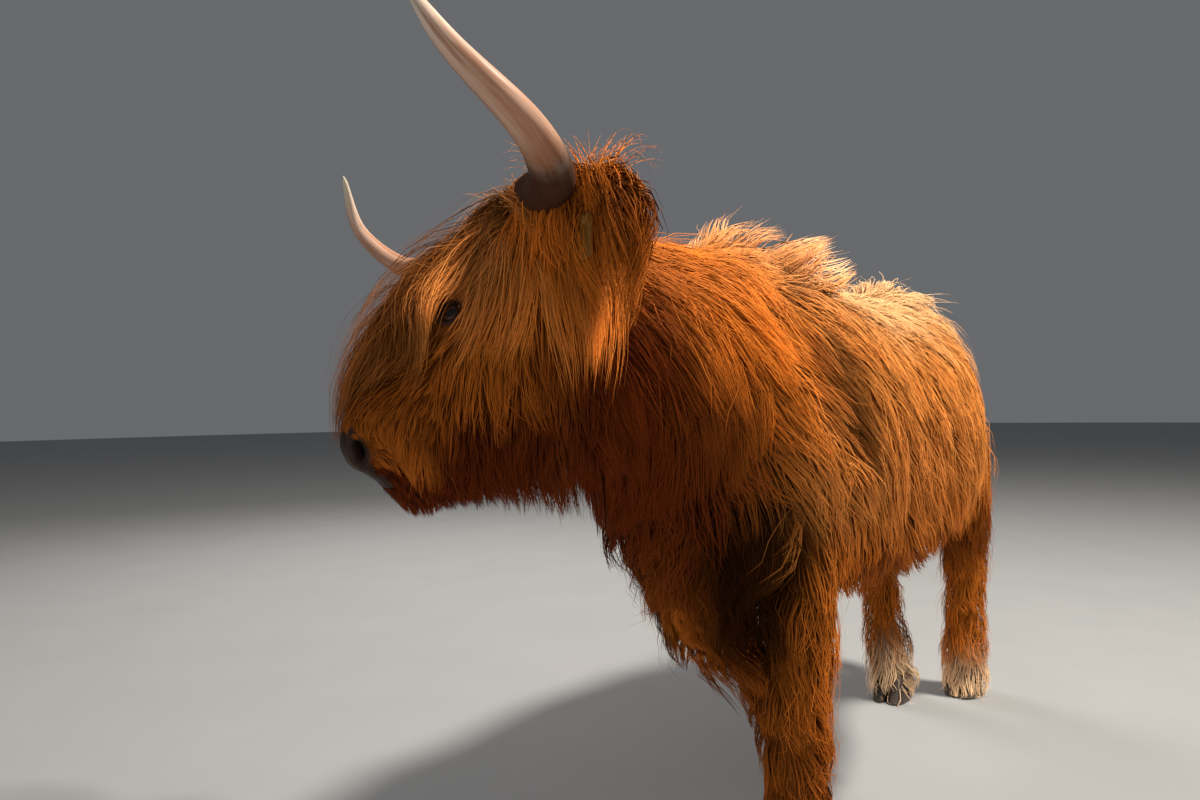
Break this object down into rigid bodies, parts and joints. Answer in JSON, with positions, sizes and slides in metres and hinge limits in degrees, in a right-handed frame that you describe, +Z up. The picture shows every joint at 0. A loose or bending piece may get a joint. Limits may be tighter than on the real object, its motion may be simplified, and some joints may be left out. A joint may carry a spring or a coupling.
{
  "type": "highland cow",
  "caption": "Shaggy long-horned cow standing still with its head low and turned to its right, a life-size display animal.",
  "frame": {"origin": "bottom centre of the bounding box, on the floor under the animal", "axes": "+X from the head towards the tail, +Y to the animal's right, +Z up"},
  "size_m": [2.0982, 0.9458, 1.3285],
  "materials": {
    "coat": "long wavy ginger hair in locks, paler along the back, darker low down",
    "horn": "smooth cream horn, grey-brown at the base, faintly streaked",
    "eye": "wet dark brown",
    "hoof": "dull dark horn with growth ridges",
    "nose": "moist dark grey-brown skin",
    "tag": "plain ochre plastic, unmarked"
  },
  "bodies": {
    "root": {"trunk": "coat", "brisket": "coat", "neck": "coat", "head": "coat", "muzzle": "nose", "lower_jaw": "coat", "forelock": "coat", "tail": "coat", "tail_switch": "coat", "ear_left": "coat", "ear_right": "coat", "eye_left": "eye", "eye_right": "eye", "horn_left": "horn", "horn_right": "horn", "ear_tag": "tag", "foreleg_left_upper": "coat", "foreleg_left_lower": "coat", "forehoof_left": "hoof", "foreleg_right_upper": "coat", "foreleg_right_lower": "coat", "forehoof_right": "hoof", "hindleg_left_upper": "coat", "hindleg_left_lower": "coat", "hindhoof_left": "hoof", "hindleg_right_upper": "coat", "hindleg_right_lower": "coat", "hindhoof_right": "hoof"}
  },
  "joints": []
}
